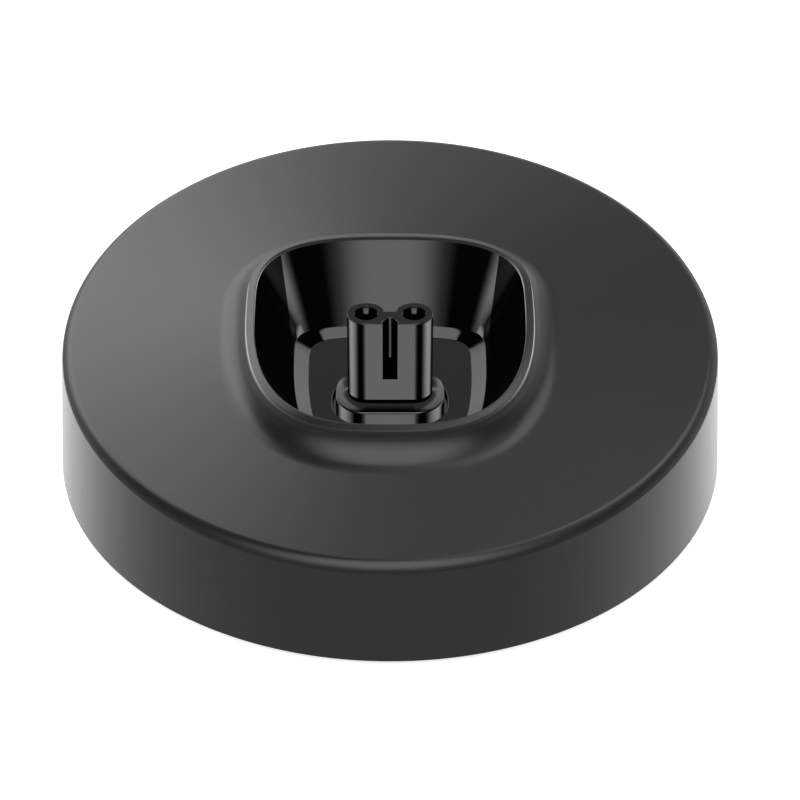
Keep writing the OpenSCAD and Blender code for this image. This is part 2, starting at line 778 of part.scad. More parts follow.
// Saddle over the two leads, on a boss of the base plate
clip_under = lead_z + lead_r + lead_head_gap;
clip_half_w = lead_spread / 2 + lead_r + piece_gap + clip_leg_t;
clip_pilot_z = base_z + plate_t / 4;
module lead_clip() {
  color("#d8d8d4")
  translate([0, clip_y, 0])
  difference() {
    union() {
      translate([-clip_half_w, -clip_d / 2, clip_under])
        cube([2 * clip_half_w, clip_d, clip_t]);
      for (x = [-1, 1])
        translate([x * (clip_half_w - clip_leg_t / 2) - clip_leg_t / 2, -clip_d / 2, plate_top])
          cube([clip_leg_t, clip_d, clip_under - plate_top + clip_t]);
    }
    translate([0, 0, clip_under - past])
      cylinder(r = small_screw_r + screw_slack, h = clip_t + 2 * past);
  }
}
module clip_screw() {
  color("#8d9096")
  translate([0, clip_y, clip_under + clip_t])
    rotate([180, 0, 0])
      screw(small_screw_r, clip_t + clip_under - clip_pilot_z - lead_head_gap, small_head_r, small_head_h);
}

module inlet_body() {
  rib_w = slot_w - rib_slack;
  rib_h = slot_depth - rib_slack;
  color("#161618")
  difference() {
    union() {
      inlet_hole_prism(inlet_back_y, mouth_y, 0);
      translate([0, inlet_flange_y + inlet_flange_t, inlet_z])
        rotate([90, 0, 0])
          linear_extrude(inlet_flange_t)
            rounded_rect(2 * inlet_flange_half_w, inlet_flange_tall, inlet_corner_r);
    }
    translate([0, mouth_y + past, inlet_z])
      rotate([90, 0, 0])
        linear_extrude(pocket_depth + past)
          difference() {
            pocket_outline();
            translate([-rib_w / 2, lobe_r + pocket_gap - rib_h])
              square([rib_w, rib_h + past]);
          }
    for (x = [-1, 1]) {
      translate([x * pole_pitch / 2, inlet_back_y - past, inlet_z])
        rotate([-90, 0, 0])
          cylinder(r = pin_shank_r + pin_fit, h = inlet_back_t + 2 * past);
      translate([x * inlet_screw_x, inlet_flange_y - past, inlet_z])
        rotate([-90, 0, 0])
          cylinder(r = small_screw_r + screw_slack, h = inlet_flange_t + 2 * past);
    }
  }
}
module pocket_outline() {
  r = lobe_r + pocket_gap;
  for (x = [-1, 1])
    translate([x * pole_pitch / 2, 0])
      circle(r);
  square([pole_pitch, 2 * r], center = true);
}

// One inlet pin: a shank in the rear wall, a pin in the pocket and a blunt point
module inlet_pin(side) {
  shank_l = pin_tail + inlet_back_t;
  length = mouth_y - pin_recess - inlet_back_y + pin_tail;
  color("#c4c7cb")
  translate([side * pole_pitch / 2, inlet_back_y - pin_tail, inlet_z])
    rotate([-90, 0, 0]) {
      cylinder(r = pin_shank_r, h = shank_l);
      translate([0, 0, shank_l])
        cylinder(r = pin_r, h = length - pin_point_h - shank_l);
      translate([0, 0, length - pin_point_h])
        cylinder(r1 = pin_r, r2 = pin_r / 2, h = pin_point_h);
    }
}
module inlet_pin_left() { inlet_pin(-1); }
module inlet_pin_right() { inlet_pin(1); }

module inlet_seal() {
  color("#3a3a3c")
  translate([0, pad_y, inlet_z])
  rotate([90, 0, 0])
  linear_extrude(inlet_seal_t)
  difference() {
    rounded_rect(2 * inlet_flange_half_w, inlet_flange_tall, inlet_corner_r);
    rounded_rect(inlet_w + 2 * seal_fit, inlet_tall + 2 * seal_fit, inlet_corner_r + seal_fit);
    for (x = [-1, 1])
      translate([x * inlet_screw_x, 0])
        circle(small_screw_r + screw_slack);
  }
}

module inlet_screws() {
  color("#8d9096")
  for (x = [-1, 1])
    translate([x * inlet_screw_x, inlet_flange_y, inlet_z])
      rotate([-90, 0, 0])
        screw(small_screw_r, inlet_flange_t + inlet_seal_t + inlet_screw_bite, small_head_r, small_head_h);
}

module liner_screws() {
  color("#8d9096")
  for (p = liner_screw_spots)
    translate([p[0], p[1], floor_under])
      screw(screw_r, liner_screw_l, head_r, head_h);
}

module ballast_plate() {
  color("#7c7f84")
  translate([0, 0, plate_top])
  difference() {
    linear_extrude(ballast_t)
      difference() {
        circle(ballast_outer_r);
        circle(ballast_inner_r);
        translate([-ballast_mouth, 0])
          square([2 * ballast_mouth, ballast_outer_r + past]);
      }
    for (p = ballast_screw_spots)
      translate([p[0], p[1], -past])
        cylinder(r = screw_r + screw_fit, h = ballast_t + 2 * past);
  }
}

head_sink = head_h + head_clear;
module ballast_screws() {
  color("#8d9096")
  for (p = ballast_screw_spots)
    translate([p[0], p[1], base_z + head_sink])
      screw(screw_r, plate_t - head_sink + ballast_screw_bite, head_r, head_h);
}

foot_recess = foot_t - foot_stand;
foot_spots = [[0, -foot_ring], [0, foot_ring], [-foot_ring, 0], [foot_ring, 0]];
module base_plate() {
  color("#303032")
  difference() {
    union() {
      translate([0, 0, base_z])
        cylinder(r = plate_r, h = plate_t);
      translate([0, clip_y, plate_top])
        cylinder(r = small_boss_r, h = clip_under - plate_top);
    }
    for (p = concat(housing_screw_spots, ballast_screw_spots))
      translate([p[0], p[1], base_z - past]) {
        cylinder(r = screw_r + screw_slack, h = plate_t + 2 * past);
        cylinder(r = head_r + screw_slack, h = head_sink + past);
      }
    for (p = foot_spots)
      translate([p[0], p[1], base_z - past])
        cylinder(r = foot_r + foot_fit, h = foot_recess + past);
    translate([0, clip_y, clip_pilot_z])
      cylinder(r = small_screw_r + screw_fit, h = clip_under);
  }
}

module housing_screws() {
  color("#8d9096")
  for (p = housing_screw_spots)
    translate([p[0], p[1], base_z + head_sink])
      screw(screw_r, housing_screw_l, head_r, head_h);
}

module foot(spot) {
  color("#1f1f21")
  translate([spot[0], spot[1], 0])
    cylinder(r = foot_r, h = foot_t);
}
module foot_front() { foot(foot_spots[0]); }
module foot_back() { foot(foot_spots[1]); }
module foot_left() { foot(foot_spots[2]); }
module foot_right() { foot(foot_spots[3]); }

top_housing();
well_liner();
connector_body();
contact_left();
contact_right();
connector_seal();
spring_left();
spring_right();
spring_tray();
tray_screws();
terminal_left();
terminal_right();
lead_left();
lead_right();
lead_clip();
clip_screw();
inlet_body();
inlet_pin_left();
inlet_pin_right();
inlet_seal();
inlet_screws();
liner_screws();
ballast_plate();
ballast_screws();
base_plate();
housing_screws();
foot_front();
foot_back();
foot_left();
foot_right();
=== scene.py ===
"""The looks of a round charging stand for a hand shaver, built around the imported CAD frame."""
import json
import math

import bmesh
import bpy
from mathutils import Matrix, Vector

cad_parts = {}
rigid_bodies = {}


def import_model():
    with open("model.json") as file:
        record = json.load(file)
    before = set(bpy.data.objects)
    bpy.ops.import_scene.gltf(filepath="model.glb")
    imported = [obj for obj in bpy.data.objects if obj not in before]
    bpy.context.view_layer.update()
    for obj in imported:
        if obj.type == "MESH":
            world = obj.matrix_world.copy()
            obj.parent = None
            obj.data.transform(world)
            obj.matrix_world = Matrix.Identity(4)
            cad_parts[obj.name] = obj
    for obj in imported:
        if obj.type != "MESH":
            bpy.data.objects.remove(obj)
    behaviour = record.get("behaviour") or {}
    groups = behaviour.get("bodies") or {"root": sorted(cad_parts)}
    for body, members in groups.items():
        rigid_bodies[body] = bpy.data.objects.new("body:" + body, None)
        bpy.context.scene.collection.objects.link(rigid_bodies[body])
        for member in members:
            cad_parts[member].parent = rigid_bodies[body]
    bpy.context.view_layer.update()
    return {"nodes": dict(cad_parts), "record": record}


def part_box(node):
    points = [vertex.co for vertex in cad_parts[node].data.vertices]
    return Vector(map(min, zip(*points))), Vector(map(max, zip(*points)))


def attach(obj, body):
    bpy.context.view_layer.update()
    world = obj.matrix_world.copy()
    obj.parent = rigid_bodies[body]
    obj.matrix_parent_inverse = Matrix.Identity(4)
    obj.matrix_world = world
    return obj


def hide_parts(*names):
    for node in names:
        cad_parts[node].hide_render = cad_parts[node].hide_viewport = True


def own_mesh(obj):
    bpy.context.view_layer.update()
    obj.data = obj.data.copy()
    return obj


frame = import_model()

# Sizes are in millimetres, and meshes are scaled to metres when they are made.
MM = 0.001

# Corners of boxes that come from the frame
housing_low, housing_high = (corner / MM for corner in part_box("top_housing"))
connector_low, connector_high = (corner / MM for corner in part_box("connector_body"))
spring_low, spring_high = (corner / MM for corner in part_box("spring_right"))
inlet_low, inlet_high = (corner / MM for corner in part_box("inlet_body"))
plate_low, plate_high = (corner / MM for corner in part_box("base_plate"))
foot_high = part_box("foot_front")[1] / MM

# Base ring
base_r = housing_high.x
base_z = housing_low.z
ring_h = 23
wall_lean = 1.7
top_tilt = math.radians(6)
top_rise = math.radians(5)
edge_r = 2
bottom_edge_r = 0.35
shell_t = 2.2
ring_r = base_r - wall_lean
ring_z = base_z + ring_h

# Collar round the well. Names that end in _n say how square an outline is: 2 is round, and more is squarer.
rim_rise = 5.8
rim_half_w = 23.1
rim_front = 31.3
rim_back = 17
rim_n = 2.8
flare_run = 4.6
flare_n = 2.65
lip_w = 1.3
lip_slope = math.radians(16)
lip_t = 0.6
lip_root = 1
lip_edge_r = 0.1
lip_drop = lip_w * math.tan(lip_slope)
rim_z = ring_z + rim_rise

# Well liner. The bevel between its wall and its floor is narrower at the back than at the sides.
floor_under = 12.5
floor_t = 1.6
floor_z = floor_under + floor_t
floor_y = 5
floor_half_w = 15.3
floor_front = 33
floor_back = 7.8
floor_front_n = 2.4
floor_back_n = 3.2
liner_rim_n = 2.9
liner_t = 1.4
liner_rim_t = 0.75
liner_gap = 0.05
bevel_side_r = 2.6
bevel_back_r = 1.5
bevel_blend = 3
bevel_edge_r = 0.15

# Line between the rear wall and the side walls, where their painted shade begins: where it crosses the height
# crease_z, and how it leans
crease_x = 16.5
crease_y = 2.7
crease_z = 16.9
crease_lean = 0.117

# Connector
connector_y = -7
nose_z = connector_high.z
nose_h = 15
nose_edge_r = 0.14
pole_pitch = 7.65
lobe_r = 3.05
notch_w = 2.06
notch_depth = 2.47
slot_w = 2.4
slot_depth = 1.8
slot_h = 10.7
# Depth below which the whole slot gets painted shade; above it, only its sides do
slot_shine_h = 7.6
slot_edge_r = 0.15
socket_r = 1.25
funnel_r = 1.8
funnel_h = 0.9
funnel_edge = 0.12
guide_h = 2.7
sleeve_hole_r = 1.8
shoulder_z = nose_z - nose_h
shoulder_w = 17.7
shoulder_d = 12.2
shoulder_r = 5.1
shoulder_edge_r = 0.32
shoulder_crown_w = 2
shoulder_crown = math.radians(16)
hole_gap = 0.55
hole_edge_r = 0.15
flange_t = 1.6
flange_ledge = 1.8
flange_post_h = 0.9
post_r = 1.25

# Springs
spring_x = 8.6
spring_r = 1.75
spring_wire_r = 0.25
spring_turns = 4
spring_flat_turns = 0.6

# Base plate, feet, and the small bosses and holes for the inner parts
plate_t = 2.4
plate_fit = 0.3
plate_edge_r = 0.3
plate_r = base_r - shell_t - plate_fit
plate_top = plate_low.z + plate_t
recess_edge_r = 0.15
foot_r = foot_high.x
foot_ring = base_r - 11
foot_fit = 0.15
foot_edge_r = 0.35
foot_top_edge_r = 0.1
foot_groove = [(3.1, 0), (3.25, 0.2), (3.55, 0.2), (3.7, 0)]
foot_spots = [(0, -foot_ring), (0, foot_ring), (-foot_ring, 0), (foot_ring, 0)]
small_boss_r = 2.4
small_hole_r = 1.05
boss_root = 0.5
clip_y = 12

# Screws. Shares are parts of the head's radius or height.
boss_r = 3
head_r = 2.7
head_h = 1.2
head_hole_r = 2.9
head_hole_depth = 1.3
head_round_share = 0.4
cross_half_w_share = 0.15
cross_half_len_share = 0.55
cross_depth_share = 0.6
thread_r = 1.45
thread_depth = 0.15
thread_pitch = 0.8
screw_hole_r = 1.5
screw_slack = 0.15
housing_screw_ring = 47.5
housing_screw_len = 9
ballast_screw_ring = 35.5
ballast_screw_len = 3.5
liner_screw_spots = [(25, 10.5), (-25, 10.5), (26.5, -18), (-26.5, -18)]
liner_screw_len = 8.5
liner_ear_t = 1.4
liner_ear_r = 3.6
liner_ear_root = 11.4
tray_boss_x = 16.7
tray_boss_low = 8.8

# Inlet, and the pad inside the wall that carries it
inlet_z = 10.0
inlet_w = 18.4
inlet_tall = 10.4
inlet_corner_r = 2
inlet_edge_r = 0.3
inlet_back_y = inlet_low.y
mouth_y = inlet_high.y
mouth_edge_r = 0.2
pad_y = base_r - 10
pad_skin_r = base_r - 2
pad_half_w = 14
pad_top = 17.2
wall_hole_fit = 0.35
inlet_flange_y = 42.6
inlet_flange_t = 1.6
inlet_flange_w = 26.8
inlet_flange_tall = 12.4
inlet_screw_x = 11.4
inlet_screw_bite = 5
inlet_hole_r = 1.2
pocket_y = 41
pocket_r = 3.4
pocket_rib_w = 2
pocket_rib_h = 1.4
pin_hole_r = 1.37
pin_r = 1.1
pin_shank_r = 1.35
pin_tail = 1
pin_tail_edge = 0.2
pin_step = 0.1
pin_end_y = 50.8
pin_taper = 0.6
pin_taper_r = 0.4
pin_tip_r = 0.55
pin_tip_edge_r = 0.15

# How far a cut runs past the face that it opens
past = 1

# The least cosine that an offset outline reckons with at a corner, so that no point of it runs away
corner_limit = 0.3

# Facets: steps of round forms, and spans that straight lines are cut into
sectors = 288
edge_steps = 4
arc_steps = 10
flare_steps = 26
circle_steps = 48
lathe_steps = 64
foot_steps = 96
foot_top_steps = 2
lobe_steps = 36
slot_steps = 24
coil_steps = 48
wire_sides = 10
roof_spans = 8
skirt_spans = 5
lip_spans = 3
well_spans = 8
bevel_spans = 4
floor_spans = 12
under_spans = 3

# In metres: points closer than weld become one, and edges shorter than sliver are dissolved
weld = 1e-7
sliver = 1e-8

# Shading breaks at edges sharper than this angle
smooth_angle = math.radians(32)

# Faces that get painted shade, picked by their middle (how far it may lie off an edge) and by their normal
hole_slack = 0.1
wall_normal_z = 0.65
side_normal_x = 0.5
recess_slack = 0.02
socket_start = 0.05
funnel_normal_z = 0.1
funnel_shine_x = 0.25
slot_start = 0.2
slot_front_gap = 0.1
slot_side_normal_x = 0.2

# Materials: where most of the noise lies, how many times wider the coarse grain is than the fine one, and the
# trace of blue in a grey
noise_low = 0.3
noise_high = 0.7
coarse_grain = 14
blue_share = 1.02

# Camera, fitted to the outline of the base: place and near end in metres, tilt in degrees
camera_place = (0, -0.310664, 0.236254)
camera_tilt = 53.797
camera_lens = 103.71
camera_sensor = 36
camera_shift_x = 0.0124
camera_shift_y = 0.0018
camera_near = 0.01

# Floor: half its width in metres, its darkest and lightest colour, and how much light it gives off
floor_reach = 3.0
floor_dark = (0.8, 0.8, 0.8)
floor_light = (0.83, 0.83, 0.83)
floor_glow = 0.65

# Soft boxes, in degrees: azimuth from the front with plus to the right, half width, softness of the sides,
# elevation of the lower edge, its softness, elevation of the upper edge, then the strength
box_top_soft = 12
housing_base = 0.12
housing_boxes = [
    (0, 41, 53, 22, 60, 96, 2.4),
    (-144, 28, 19, 26, 50, 62, 2.1),
    (124, 52, 120, 48, 52, 97, 1.3),
    (44, 116, 60, -60, 80, -23, 0.46),
    (137, 44, 120, -29, 48, -28, 3.3),
    (-130, 44, 106, -34, 67, -23, 2.8),
    (-144, 31, 48, 39, 79, 47, 2.8),
    (-5, 120, 10, -13, 48, 2, 0.36),
    (180, 80, 108, -13, 24, 30, 0.63),
    (128, 18, 8, 38, 12, 68, 1.1),
]
gloss_base = 0.01
gloss_boxes = [
    (0, 12, 26, -40, 6, -4, 1.3),
    (0, 7, 14, -40, 6, -4, 1.45),
    (90, 25, 40, -38, 15, -18, 4.0),
    (106, 36, 28, -12, 2.5, 0, 3.3),
    (0, 72, 8, 57, 4, 100, 2.9),
    (0, 180, 1, 76, 6, 100, 4.5),
    (0, 30, 20, 26, 8, 46, 2.7),
    (150, 17, 10, 8, 14, 60, 1.6),
    (180, 20, 12, 20, 10, 60, 0.36),
]
dome = 1.15
backdrop = 1.0


def on_ring(r, angles):
    """Spots on a circle round the middle, at angles in degrees."""
    return [(r * math.cos(math.radians(a)), r * math.sin(math.radians(a))) for a in angles]


housing_screw_spots = on_ring(housing_screw_ring, (45, 135, 225, 315))
ballast_screw_spots = on_ring(ballast_screw_ring, (30, 150, 270))


def ring_plane(y):
    return ring_z + y * math.tan(top_tilt)


def rim_plane(y):
    return rim_z + y * math.tan(top_tilt)


def cone_z(r, a):
    """Height of the cone that rises from the wall's top edge to the well."""
    return ring_plane(r * math.sin(a)) + (ring_r - r) * math.tan(top_rise)


def mid_roof(x, y):
    """Height of the middle of the roof's shell above a spot."""
    return cone_z(math.hypot(x, y), math.atan2(y, x)) - shell_t / 2


def outline(a, half_w, front, back, n_front, n_back):
    """Distance from the middle to a squarish outline, at the angle a."""
    deep, n = (front, n_front) if math.sin(a) < 0 else (back, n_back)
    return ((abs(math.cos(a)) / half_w) ** n + (abs(math.sin(a)) / deep) ** n) ** (-1 / n)


def outline_point(turn, half_w, front, back, n_front, n_back):
    """The point of a squarish outline whose side faces the direction turn."""
    deep, n = (front, n_front) if math.sin(turn) < 0 else (back, n_back)
    across, along = abs(math.cos(turn)), abs(math.sin(turn))
    share = math.atan2((deep * along) ** (n / (2 * n - 2)), (half_w * across) ** (n / (2 * n - 2)))
    x = half_w * abs(math.cos(share)) ** (2 / n)
    y = deep * abs(math.sin(share)) ** (2 / n)
    return Vector((math.copysign(x, math.cos(turn)), math.copysign(y, math.sin(turn))))


def facing(point, half_w, front, back, n_front, n_back):
    """The direction that a squarish outline faces at one of its points."""
    deep, n = (front, n_front) if point.y < 0 else (back, n_back)
    across = (abs(point.x) / half_w) ** (n - 1) / half_w
    along = (abs(point.y) / deep) ** (n - 1) / deep
    return math.atan2(math.copysign(along, point.y), math.copysign(across, point.x))


def rim_out(a):
    return outline(a, rim_half_w, rim_front, rim_back, rim_n, rim_n)


def flare_foot(a):
    return outline(a, rim_half_w + flare_run, rim_front + flare_run, rim_back + flare_run, flare_n, flare_n)


def liner_form(grow=0.0):
    """What the outline functions need for the liner's upper edge, moved outwards by grow."""
    moved = grow - lip_w
    return (rim_half_w + moved, rim_front + moved, rim_back + moved, liner_rim_n, liner_rim_n)


def liner_top(a, grow=0.0):
    return outline(a, *liner_form(grow))


def corner_arc(corner, before, after, radius, steps):
    """Points of a rounded corner of a section, from the point before it towards the point after it."""
    p, u, v = Vector(corner), Vector(before) - Vector(corner), Vector(after) - Vector(corner)
    u.normalize()
    v.normalize()
    half = u.angle(v) / 2
    middle = p + (u + v).normalized() * radius / math.sin(half)
    first = (p + u * radius / math.tan(half) - middle).normalized()
    last = (p + v * radius / math.tan(half) - middle).normalized()
    turn = math.pi - 2 * half
    return [
        middle + radius * (first * math.sin(turn * (1 - i / steps)) + last * math.sin(turn * i / steps))
        / math.sin(turn)
        for i in range(steps + 1)
    ]


def between(p, q, count):
    """The points inside the line from p to q that cut it into equal parts."""
    p, q = Vector(p), Vector(q)
    return [p.lerp(q, i / count) for i in range(1, count)]


def flare_point(a, t):
    """A point of the hollow flare from the roof to the rim, at the angle a. From one end to the other, t runs
    from 0 to a quarter turn."""
    top_r = rim_out(a)
    r = top_r + (flare_foot(a) - top_r) * (1 - math.sin(t))
    gain = rim_plane(top_r * math.sin(a)) - cone_z(top_r, a)
    return (r, cone_z(r, a) + gain * (1 - math.cos(t)))


def housing_section(a):
    """Closed section of the housing at the angle a, as points of radius and height."""
    ring = (ring_r, cone_z(ring_r, a))
    foot_out = (base_r, base_z)
    foot_in = (base_r - shell_t, base_z)
    flare_end = flare_point(a, 0)
    roof_mid_r = (ring_r + flare_end[0]) / 2
    bottom = corner_arc(foot_out, foot_in, ring, bottom_edge_r, edge_steps)
    edge = corner_arc(ring, foot_out, (roof_mid_r, cone_z(roof_mid_r, a)), edge_r, arc_steps)
    flare = [flare_point(a, math.pi / 2 * i / flare_steps) for i in range(flare_steps)]
    rim_r = rim_out(a)
    rim = (rim_r, rim_plane(rim_r * math.sin(a)))
    # Only the direction from the rim to this point counts
    below_rim = (rim[0], rim[1] - 1)
    lip_in_r = liner_top(a)
    lip_in = (lip_in_r, rim_plane(lip_in_r * math.sin(a)) + lip_drop)
    lip_under = (lip_in_r, lip_in[1] - lip_t)
    seat_r = liner_top(a, liner_rim_t + liner_gap)
    collar_in_z = min(lip_under[1] - lip_root, cone_z(seat_r, a) - shell_t)
    roof_in_r = ring_r - shell_t
    return (
        bottom
        + between(bottom[-1], edge[0], skirt_spans)
        + edge
        + between(edge[-1], flare[0], roof_spans)
        + flare
        + corner_arc(rim, below_rim, lip_in, lip_edge_r, edge_steps)
        + between(rim, lip_in, lip_spans)
        + corner_arc(lip_in, rim, lip_under, lip_edge_r, edge_steps)
        + [lip_under, (seat_r, lip_under[1]), (seat_r, collar_in_z)]
        + [(flare_end[0], cone_z(flare_end[0], a) - shell_t), (roof_in_r, cone_z(roof_in_r, a) - shell_t)]
        + [foot_in]
    )


def liner_section(a):
    """Closed section of the liner, from its upper edge at the angle a down to the part of the floor's outline
    that faces the same way, and back underneath."""
    top_r = liner_top(a)
    top = Vector((top_r * math.cos(a), top_r * math.sin(a), 0))
    turn = facing(top, *liner_form())
    outwards = Vector((math.cos(turn), math.sin(turn), 0))
    top.z = rim_plane(top.y) + lip_drop - lip_t - liner_gap
    foot = outline_point(turn, floor_half_w, floor_front, floor_back, floor_front_n, floor_back_n)
    foot = Vector((foot.x, foot.y + floor_y, floor_z))
    middle = Vector((0, floor_y, floor_z))
    backwards = max(math.sin(turn), 0) ** bevel_blend
    bevel_r = bevel_side_r - (bevel_side_r - bevel_back_r) * backwards
    bevel = corner_arc(foot, top, foot - outwards, bevel_r, 1)
    high = corner_arc(bevel[0], top, bevel[1], bevel_edge_r, edge_steps)
    low = corner_arc(bevel[1], bevel[0], middle, bevel_edge_r, edge_steps)
    under = Vector((foot.x, foot.y, floor_under)) + outwards * liner_t
    under_middle = Vector((0, floor_y, floor_under))
    return (
        [top]
        + between(top, high[0], well_spans)
        + high
        + between(high[-1], low[0], bevel_spans)
        + low
        + between(low[-1], middle, floor_spans)
        + [middle, under_middle]
        + between(under_middle, under, under_spans)
        + [under, top + outwards * liner_rim_t]
    )


def bmesh_from(vertices, faces, slivers=False):
    """A closed bmesh in metres, with its faces turned outwards, and rid of slivers if it may have them."""
    bm = bmesh.new()
    made = [bm.verts.new(Vector(v) * MM) for v in vertices]
    for face in faces:
        bm.faces.new([made[i] for i in face])
    bmesh.ops.remove_doubles(bm, verts=bm.verts, dist=weld)
    if slivers:
        bmesh.ops.dissolve_degenerate(bm, edges=bm.edges, dist=sliver)
    bmesh.ops.recalc_face_normals(bm, faces=bm.faces)
    return bm


def ring_loft(sections):
    """Closed ring of sections of equally many points, whose points on the middle line are made one."""
    count = len(sections[0])
    vertices, faces = [], []
    for i, section in enumerate(sections):
        vertices += section
        i2 = (i + 1) % len(sections)
        for j in range(count):
            j2 = (j + 1) % count
            faces.append((i * count + j, i2 * count + j, i2 * count + j2, i * count + j2))
    return bmesh_from(vertices, faces, slivers=True)


def stack(rings):
    """Closed solid through a list of rings with equal numbers of points, capped at both ends."""
    count = len(rings[0])
    vertices = [p for ring in rings for p in ring]
    faces = [tuple(range(count)), tuple((len(rings) - 1) * count + k for k in range(count))]
    for i in range(len(rings) - 1):
        for k in range(count):
            k2 = (k + 1) % count
            faces.append((i * count + k, i * count + k2, (i + 1) * count + k2, (i + 1) * count + k))
    return bmesh_from(vertices, faces)


def offset(points, grow):
    """A flat outline, given anticlockwise, moved outwards by grow along its corners' bisectors."""
    moved = []
    for before, p, after in zip(points[-1:] + points[:-1], points, points[1:] + points[:1]):
        u, v = (p - before).normalized(), (after - p).normalized()
        normal = Vector((u.y + v.y, -u.x - v.x)).normalized()
        moved.append(p + normal * grow / max(normal.dot(Vector((u.y, -u.x))), corner_limit))
    return moved


def end_steps(grow, z, up):
    """Steps from a prism's sides to its end at height z, as growth and height. The end is rounded off where
    grow is below 0, and flared where it is above. The sign up is 1 at the upper end and -1 at the lower."""
    turns = [math.pi / 2 * i / edge_steps for i in range(1, edge_steps + 1)]
    return [(grow * (1 - math.cos(t)), z - up * abs(grow) * (1 - math.sin(t))) for t in turns]


def prism(points, z0, z1, low_edge=0.0, high_edge=0.0, grow_low=0.0, grow_high=0.0, levels=()):
    """Upright solid on a flat outline, from height z0 to z1. An edge above 0 rounds that end off. A grow
    above 0 is for cutters: it flares that end and runs it past the face. Levels are heights that cut the
    sides into bands."""
    low, high = grow_low - low_edge, grow_high - high_edge
    steps = [(0.0, z0 + abs(low)), *((0.0, z) for z in levels), (0.0, z1 - abs(high))]
    if low:
        steps = end_steps(low, z0, -1)[::-1] + steps
    if high:
        steps = steps + end_steps(high, z1, 1)
    if grow_low:
        steps = [(grow_low, z0 - past)] + steps
    if grow_high:
        steps = steps + [(grow_high, z1 + past)]
    return stack([[(q.x, q.y, z) for q in offset(points, grow)] for grow, z in steps])


def arc(x, y, r, start, end, steps):
    """Points of an arc in a flat outline, in degrees."""
    angles = [math.radians(start + (end - start) * i / steps) for i in range(steps + 1)]
    return [Vector((x + r * math.cos(a), y + r * math.sin(a))) for a in angles]


def circle(x, y, r, steps=circle_steps):
    return arc(x, y, r, 0, 360 * (steps - 1) / steps, steps - 1)


def rounded_rect(w, d, r, y=0.0):
    x, deep = w / 2 - r, d / 2 - r
    return (
        arc(x, y - deep, r, -90, 0, arc_steps)
        + arc(x, y + deep, r, 0, 90, arc_steps)
        + arc(-x, y + deep, r, 90, 180, arc_steps)
        + arc(-x, y - deep, r, 180, 270, arc_steps)
    )


def nose_outline():
    """The nose from above: two lobes, a flat front and a notch behind."""
    web_back = lobe_r - notch_depth
    x = pole_pitch / 2
    end = math.degrees(math.acos((notch_w / 2 - x) / lobe_r))
    y = connector_y
    return (
        arc(x, y, lobe_r, -90, end, lobe_steps)
        + [Vector((notch_w / 2, y + web_back)), Vector((-notch_w / 2, y + web_back))]
        + arc(-x, y, lobe_r, 180 - end, 270, lobe_steps)
    )


def slot_outline(w, depth, y, front):
    """A slot with a round end towards the back, open at the front."""
    round_y = y - lobe_r + depth - w / 2
    return [Vector((-w / 2, front)), Vector((w / 2, front))] + arc(0, round_y, w / 2, 0, 180, slot_steps)


def lathe(profile, steps=lathe_steps):
    """Solid of revolution round the upright axis, from points of radius and height."""
    angles = [2 * math.pi * k / steps for k in range(steps)]
    return stack([[(r * math.cos(a), r * math.sin(a), z) for a in angles] for r, z in profile])


def helix(x, y, r, wire_r, z0, z1, turns, flat_turns):
    """Coil spring with flat end turns, from height z0 to z1."""
    low, rise = z0 + wire_r, z1 - z0 - 2 * wire_r
    angles = [2 * math.pi * k / wire_sides for k in range(wire_sides)]
    rings = []
    for i in range(turns * coil_steps + 1):
        turn = i / coil_steps
        share = min(max((turn - flat_turns) / (turns - 2 * flat_turns), 0), 1)
        out = Vector((math.cos(2 * math.pi * turn), math.sin(2 * math.pi * turn), 0))
        middle = Vector((x, y, low + rise * share)) + out * r
        rings.append([middle + wire_r * (out * math.cos(a) + Vector((0, 0, math.sin(a)))) for a in angles])
    return stack(rings)


def box_solid(low, high):
    (x0, y0, z0), (x1, y1, z1) = low, high
    return stack([[(x0, y0, z), (x1, y0, z), (x1, y1, z), (x0, y1, z)] for z in (z0, z1)])


def put(bm, matrix):
    bmesh.ops.transform(bm, matrix=matrix, verts=bm.verts)
    return bm


def at(x, y, z):
    return Matrix.Translation(Vector((x, y, z)) * MM)


# Turns an upright solid so that its axis lies along +Y
along_y = Matrix.Rotation(math.radians(-90), 4, "X")


def as_object(bm, name):
    mesh = bpy.data.meshes.new(name)
    bm.to_mesh(mesh)
    bm.free()
    obj = bpy.data.objects.new(name, mesh)
    bpy.context.scene.collection.objects.link(obj)
    return obj


def apply_modifiers(obj):
    graph = bpy.context.evaluated_depsgraph_get()
    mesh = bpy.data.meshes.new_from_object(obj.evaluated_get(graph))
    obj.modifiers.clear()
    old = obj.data
    obj.data = mesh
    bpy.data.meshes.remove(old)


def remove(obj):
    mesh = obj.data
    bpy.data.objects.remove(obj)
    bpy.data.meshes.remove(mesh)


def boolean(obj, solids, operation):
    """Adds the solids to the object, or cuts them out, one after the other."""
    for bm in solids:
        tool = as_object(bm, "tool")
        step = obj.modifiers.new("step", "BOOLEAN")
        step.operation = operation
        step.solver = "EXACT"
        step.object = tool
        apply_modifiers(obj)
        remove(tool)
    return obj


def copies(obj, places, name):
    """One object of several copies of another, which it takes the place of."""
    bm = bmesh.new()
    for place in places:
        start = len(bm.verts)
        bm.from_mesh(obj.data)
        bm.verts.ensure_lookup_table()
        bmesh.ops.translate(bm, verts=bm.verts[start:], vec=Vector(place) * MM)
    remove(obj)
    return as_object(bm, name)


